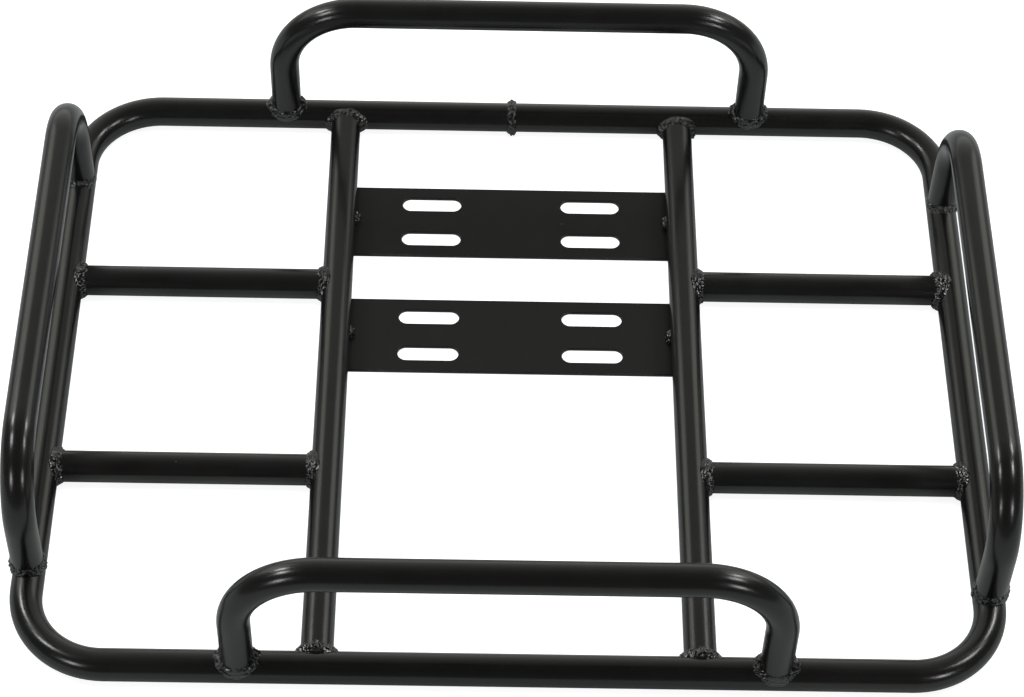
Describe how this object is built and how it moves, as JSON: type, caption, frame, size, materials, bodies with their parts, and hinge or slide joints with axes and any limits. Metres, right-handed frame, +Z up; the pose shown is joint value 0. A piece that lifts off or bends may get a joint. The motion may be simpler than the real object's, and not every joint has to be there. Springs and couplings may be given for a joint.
{
  "type": "scooter delivery box rack",
  "caption": "Flat welded rack of bent steel tube with upright hoops round its edge and slotted plates beneath, for carrying a delivery box on a scooter.",
  "frame": {"origin": "middle of the rack, level with the underside of the slotted plates", "axes": "+X to the right along the wide side, +Y to the rear, +Z up along the hoops"},
  "size_m": [0.5034, 0.3934, 0.1],
  "materials": {
    "black_tube": "satin black powder coat",
    "black_plate": "satin black powder coat on flat bar",
    "black_weld": "glossy black coat over rough weld beads"
  },
  "bodies": {
    "root": {"base_ring": "black_tube", "left_rail": "black_tube", "right_rail": "black_tube", "left_rear_cross_tube": "black_tube", "left_front_cross_tube": "black_tube", "right_rear_cross_tube": "black_tube", "right_front_cross_tube": "black_tube", "front_hoop": "black_tube", "rear_hoop": "black_tube", "left_hoop": "black_tube", "right_hoop": "black_tube", "rear_slotted_plate": "black_plate", "front_slotted_plate": "black_plate", "ring_butt_weld": "black_weld", "left_rail_welds": "black_weld", "right_rail_welds": "black_weld", "left_rear_cross_tube_welds": "black_weld", "left_front_cross_tube_welds": "black_weld", "right_rear_cross_tube_welds": "black_weld", "right_front_cross_tube_welds": "black_weld", "front_hoop_welds": "black_weld", "rear_hoop_welds": "black_weld", "left_hoop_welds": "black_weld", "right_hoop_welds": "black_weld", "rear_plate_welds": "black_weld", "front_plate_welds": "black_weld"}
  },
  "joints": []
}
